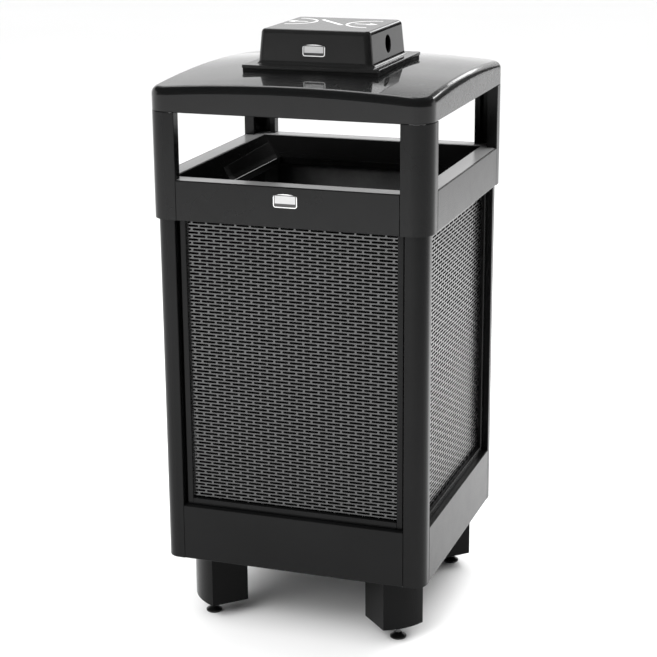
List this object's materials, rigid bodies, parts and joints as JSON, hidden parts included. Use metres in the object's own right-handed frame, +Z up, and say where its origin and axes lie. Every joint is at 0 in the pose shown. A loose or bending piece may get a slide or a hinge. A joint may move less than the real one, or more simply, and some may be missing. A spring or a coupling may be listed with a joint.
{
  "type": "ashtray bin",
  "caption": "Square free-standing steel litter bin with perforated side panels, a tilting hood with a window in each side, and an ash urn on its lid.",
  "frame": {"origin": "on the floor under the middle of the bin, level with the bottoms of the levelling feet", "axes": "+Z up, -Y towards the front with the hood badge, +X towards the right side"},
  "size_m": [0.4712, 0.4756, 1.005],
  "materials": {
    "cabinet_coat": "satin black powder coat",
    "perforated_sheet": "satin black powder coat on perforated sheet",
    "lid_gloss": "gloss black powder coat",
    "funnel_gloss": "gloss black powder coat",
    "liner_plastic": "moulded dark grey plastic",
    "zinc": "zinc plated",
    "foot_plastic": "moulded black nylon",
    "gasket_rubber": "matt black rubber",
    "badge_metal": "satin aluminium, blank",
    "pan_steel": "stainless steel",
    "urn_coat": "semi-gloss black powder coat",
    "leg_coat": "satin black powder coat"
  },
  "bodies": {
    "cabinet": {"base_pan": "cabinet_coat", "corner_post_back_left": "cabinet_coat", "corner_post_back_right": "cabinet_coat", "corner_post_front_left": "cabinet_coat", "corner_post_front_right": "cabinet_coat", "foot_nuts": "zinc", "hinge_leaf_cabinet": "cabinet_coat", "hinge_pin": "zinc", "hinge_rail": "cabinet_coat", "hinge_screws_cabinet": "zinc", "leg_back_left": "leg_coat", "leg_back_right": "leg_coat", "leg_bolts": "zinc", "leg_front_left": "leg_coat", "leg_front_right": "leg_coat", "liner": "liner_plastic", "panel_frame_back": "cabinet_coat", "panel_frame_front": "cabinet_coat", "panel_frame_left": "cabinet_coat", "panel_frame_right": "cabinet_coat", "panel_rivets": "cabinet_coat", "perforated_panel_back": "perforated_sheet", "perforated_panel_front": "perforated_sheet", "perforated_panel_left": "perforated_sheet", "perforated_panel_right": "perforated_sheet", "skirt_back": "cabinet_coat", "skirt_front": "cabinet_coat", "skirt_left": "cabinet_coat", "skirt_right": "cabinet_coat", "top_rim": "cabinet_coat"},
    "hood": {"ash_pan": "pan_steel", "dome_lid": "lid_gloss", "funnel": "funnel_gloss", "hinge_leaf_hood": "cabinet_coat", "hinge_screws_hood": "zinc", "hood_badge": "badge_metal", "hood_band_back": "cabinet_coat", "hood_band_front": "cabinet_coat", "hood_band_left": "cabinet_coat", "hood_band_right": "cabinet_coat", "hood_post_back_left": "cabinet_coat", "hood_post_back_right": "cabinet_coat", "hood_post_front_left": "cabinet_coat", "hood_post_front_right": "cabinet_coat", "hood_top_frame": "cabinet_coat", "urn_base_plate": "urn_coat", "urn_gasket": "gasket_rubber", "urn_screws": "zinc"},
    "cover": {"urn_cover": "urn_coat", "urn_badge": "badge_metal"},
    "foot_front_left": {"foot_pad_front_left": "foot_plastic", "foot_stem_front_left": "zinc"},
    "foot_front_right": {"foot_pad_front_right": "foot_plastic", "foot_stem_front_right": "zinc"},
    "foot_back_right": {"foot_pad_back_right": "foot_plastic", "foot_stem_back_right": "zinc"},
    "foot_back_left": {"foot_pad_back_left": "foot_plastic", "foot_stem_back_left": "zinc"}
  },
  "joints": [
    {"name": "hood_tilt", "type": "hinge", "parent": "cabinet", "child": "hood", "pos_m": [0, 0.2344, 0.706], "axis": [-1, 0, 0], "range_deg": [0, 95]},
    {"name": "cover_lift", "type": "slide", "parent": "hood", "child": "cover", "axis": [0, 0, 1], "range_m": [0, 0.09]},
    {"name": "foot_front_left_level", "type": "slide", "parent": "cabinet", "child": "foot_front_left", "axis": [0, 0, 1], "range_m": [-0.012, 0.01]},
    {"name": "foot_front_right_level", "type": "slide", "parent": "cabinet", "child": "foot_front_right", "axis": [0, 0, 1], "range_m": [-0.012, 0.01]},
    {"name": "foot_back_right_level", "type": "slide", "parent": "cabinet", "child": "foot_back_right", "axis": [0, 0, 1], "range_m": [-0.012, 0.01]},
    {"name": "foot_back_left_level", "type": "slide", "parent": "cabinet", "child": "foot_back_left", "axis": [0, 0, 1], "range_m": [-0.012, 0.01]}
  ]
}
